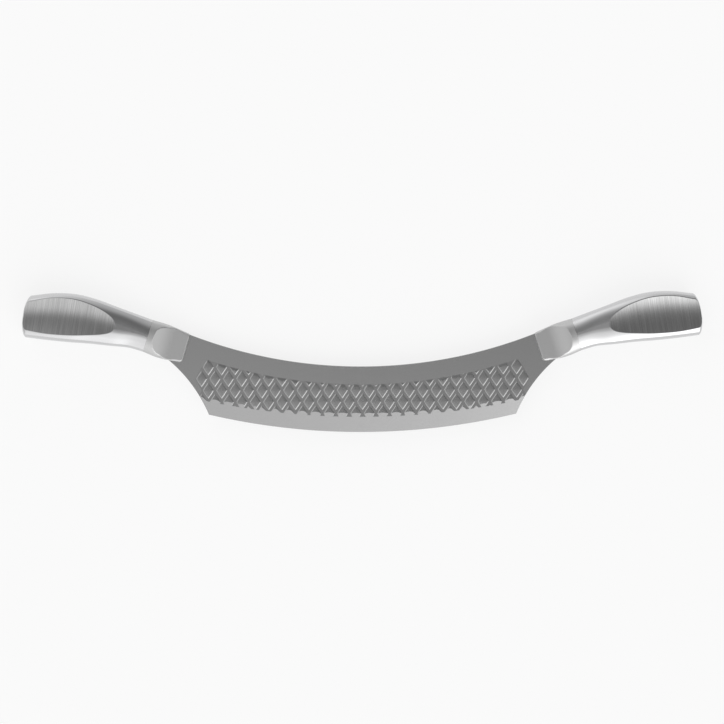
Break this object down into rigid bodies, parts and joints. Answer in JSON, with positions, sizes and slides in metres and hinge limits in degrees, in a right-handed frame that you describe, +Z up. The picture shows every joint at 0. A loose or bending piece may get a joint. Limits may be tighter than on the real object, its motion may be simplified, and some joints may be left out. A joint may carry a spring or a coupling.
{
  "type": "two-handled cheese knife",
  "caption": "Curved steel cheese knife with a scale-patterned blade held in bolsters between two hollow steel handles, rocked or pushed down with both hands.",
  "frame": {"origin": "under the middle of the knife as it lies flat, on the plane that the handles rest on", "axes": "+X along the knife from one handle to the other, +Y from the cutting edge towards the spine, +Z up, square to the blade's face"},
  "size_m": [0.4002, 0.0826, 0.0171],
  "materials": {
    "blade_steel": "satin, with a finer ground bevel",
    "bolster_steel": "bead-blasted cheeks, satin neck",
    "handle_steel": "mirror-polished rims, grip hollows brushed across",
    "core_filler": "cast, unfinished"
  },
  "bodies": {
    "root": {"blade": "blade_steel", "left_bolster": "bolster_steel", "right_bolster": "bolster_steel", "left_handle_front_shell": "handle_steel", "left_handle_rear_shell": "handle_steel", "right_handle_front_shell": "handle_steel", "right_handle_rear_shell": "handle_steel", "left_handle_core": "core_filler", "right_handle_core": "core_filler"}
  },
  "joints": []
}
